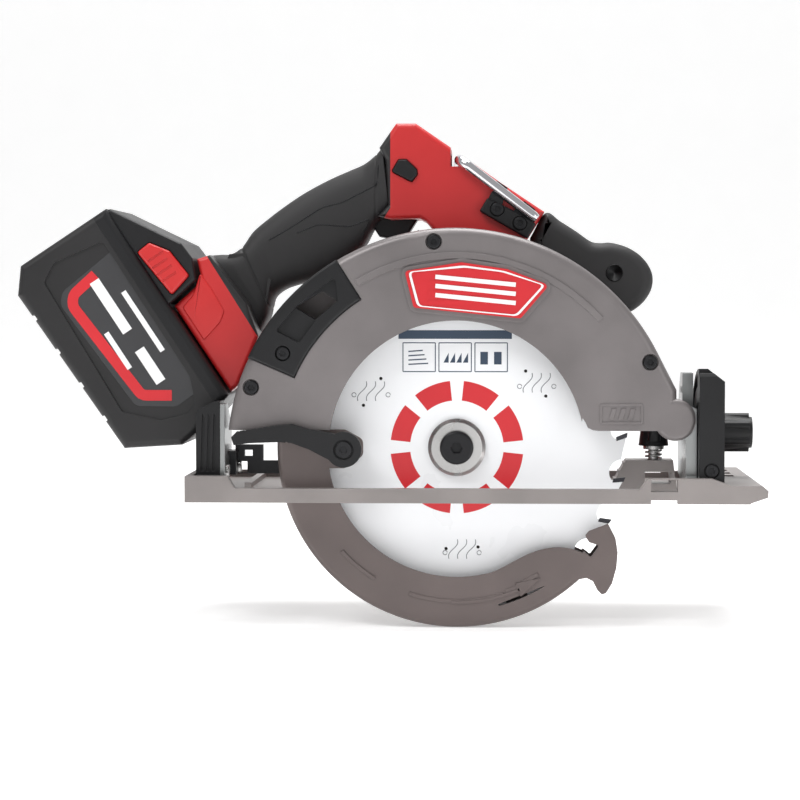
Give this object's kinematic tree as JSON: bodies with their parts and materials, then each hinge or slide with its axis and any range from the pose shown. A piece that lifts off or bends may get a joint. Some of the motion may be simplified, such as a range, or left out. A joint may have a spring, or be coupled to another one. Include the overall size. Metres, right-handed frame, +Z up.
{
  "type": "circular saw",
  "caption": "Battery circular saw with tilting, depth-setting shoe, sprung lower blade guard, toothed blade, geared motor, hand grips, belt hook and slide-off battery.",
  "frame": {"origin": "on the flat sole, straight below the arbor and in the middle plane of the handle", "axes": "+X forwards along the cut, +Y from the blade side to the motor side, +Z up from the sole"},
  "size_m": [0.4174, 0.171, 0.2815],
  "materials": {
    "guard_casting": "satin warm grey paint",
    "shoe_casting": "satin warm grey paint",
    "black_plastic": "fine texture",
    "red_plastic": "fine texture",
    "rubber": "soft grip",
    "zinc_steel": "zinc plated",
    "steel": "machined",
    "black_steel": "black oxide",
    "blade_coating": "white anti-friction coating",
    "carbide": "ground carbide",
    "aluminium": "die cast",
    "copper_steel": "laminations and windings",
    "cell": "wrapped lithium cells",
    "chrome": "polished",
    "badge": "gloss"
  },
  "bodies": {
    "shoe": {"shoe_plate": "shoe_casting", "bevel_pins": "steel", "front_quadrant": "black_plastic", "quadrant_screws": "black_steel", "fence_spring": "steel"},
    "fence_knob": {"fence_screw": "steel", "fence_knob": "black_plastic"},
    "tilt_frame": {"front_tilt_bracket": "zinc_steel", "rear_tilt_bracket": "black_plastic", "rear_tilt_plate": "zinc_steel", "depth_arm": "black_steel", "depth_pin": "steel", "frame_screws": "steel", "bevel_bolt": "steel"},
    "bevel_knob": {"bevel_knob": "black_plastic"},
    "head": {"guard_cover": "guard_casting", "guard_back": "guard_casting", "cover_screws": "black_steel", "guard_bolts": "steel", "dust_chute": "black_plastic", "badge_plate": "badge", "gear_case": "aluminium", "bearing_plate": "aluminium", "spindle_bearings": "steel", "motor_bearings": "steel", "motor_housing": "red_plastic", "motor_end_cap": "black_plastic", "stator": "copper_steel", "handle_shell_near": "red_plastic", "handle_shell_far": "red_plastic", "grip_rubber": "rubber", "front_grip": "rubber", "handle_screws": "black_steel", "switch_module": "black_plastic", "terminal_block": "black_plastic", "hook_clamp": "black_plastic", "depth_bolt": "steel"},
    "lower_guard": {"lower_guard": "guard_casting", "guard_lever": "black_plastic", "lever_screw": "black_steel"},
    "spindle": {"saw_blade": "blade_coating", "carbide_tips": "carbide", "spindle": "steel", "inner_flange": "steel", "outer_flange": "steel", "blade_bolt": "black_steel", "spindle_gear": "steel"},
    "rotor": {"motor_shaft": "steel", "rotor_core": "steel", "cooling_fan": "black_plastic"},
    "spindle_lock": {"spindle_lock_button": "black_plastic"},
    "trigger": {"trigger": "black_plastic"},
    "lock_off": {"lock_off_button": "black_plastic"},
    "hook": {"hook": "chrome"},
    "depth_lever": {"depth_lever": "black_plastic"},
    "battery": {"battery_case": "black_plastic", "battery_lid": "black_plastic", "battery_cells": "cell"},
    "latch_near": {"battery_latch_near": "red_plastic"},
    "latch_far": {"battery_latch_far": "red_plastic"}
  },
  "joints": [
    {"name": "bevel_tilt", "type": "hinge", "parent": "shoe", "child": "tilt_frame", "pos_m": [0, -0.068, 0.005], "axis": [1, 0, 0], "range_deg": [0, 50]},
    {"name": "depth_pivot", "type": "hinge", "parent": "tilt_frame", "child": "head", "pos_m": [0.12, -0.054, 0.045], "axis": [0, 1, 0], "range_deg": [0, 32]},
    {"name": "bevel_knob_turn", "type": "hinge", "parent": "tilt_frame", "child": "bevel_knob", "pos_m": [0.158, -0.01404, 0.03553], "axis": [1, 0, 0], "range_deg": [-120, 0]},
    {"name": "fence_knob_turn", "type": "hinge", "parent": "shoe", "child": "fence_knob", "pos_m": [0.1113, -0.014, 0.03], "axis": [0, 0, 1], "range_deg": [0, 180]},
    {"name": "lower_guard_swing", "type": "hinge", "parent": "head", "child": "lower_guard", "pos_m": [0, -0.043, 0.029], "axis": [0, 1, 0], "range_deg": [0, 135], "stiffness_Nm_per_rad": 0.15, "springref_deg": -85.94},
    {"name": "spindle_turn", "type": "hinge", "parent": "head", "child": "spindle", "pos_m": [0, -0.052, 0.029], "axis": [0, -1, 0], "continuous": true},
    {"name": "rotor_turn", "type": "hinge", "parent": "head", "child": "rotor", "pos_m": [0.01275, 0.02, 0.05108], "axis": [0, -1, 0], "continuous": true},
    {"name": "spindle_lock_press", "type": "slide", "parent": "head", "child": "spindle_lock", "axis": [-1, 0, 0], "range_m": [0, 0.0035], "stiffness_N_per_m": 300, "springref_m": -0.004},
    {"name": "trigger_pull", "type": "slide", "parent": "head", "child": "trigger", "axis": [-0.6, 0, 0.8], "range_m": [0, 0.006], "stiffness_N_per_m": 400, "springref_m": -0.004},
    {"name": "lock_off_press", "type": "slide", "parent": "head", "child": "lock_off", "axis": [0, 1, 0], "range_m": [-0.0015, 0.0015], "stiffness_N_per_m": 600},
    {"name": "hook_swing", "type": "hinge", "parent": "head", "child": "hook", "pos_m": [0.0007, -0.0245, 0.1902], "axis": [0.7934, 0, -0.6087], "range_deg": [0, 180]},
    {"name": "depth_lever_turn", "type": "hinge", "parent": "head", "child": "depth_lever", "pos_m": [-0.05, -0.022, 0.045], "axis": [0, 1, 0], "range_deg": [0, 50]},
    {"name": "battery_slide", "type": "slide", "parent": "head", "child": "battery", "axis": [-0.5519, 0, 0.8339], "range_m": [0, 0.065]},
    {"name": "latch_near_press", "type": "slide", "parent": "battery", "child": "latch_near", "axis": [0, 1, 0], "range_m": [0, 0.003], "stiffness_N_per_m": 600, "springref_m": -0.001},
    {"name": "latch_far_press", "type": "slide", "parent": "battery", "child": "latch_far", "axis": [0, -1, 0], "range_m": [0, 0.003], "stiffness_N_per_m": 600, "springref_m": -0.001}
  ],
  "couplings": [
    {"joint": "rotor_turn", "follows": "spindle_turn", "ratio": -3.25}
  ]
}
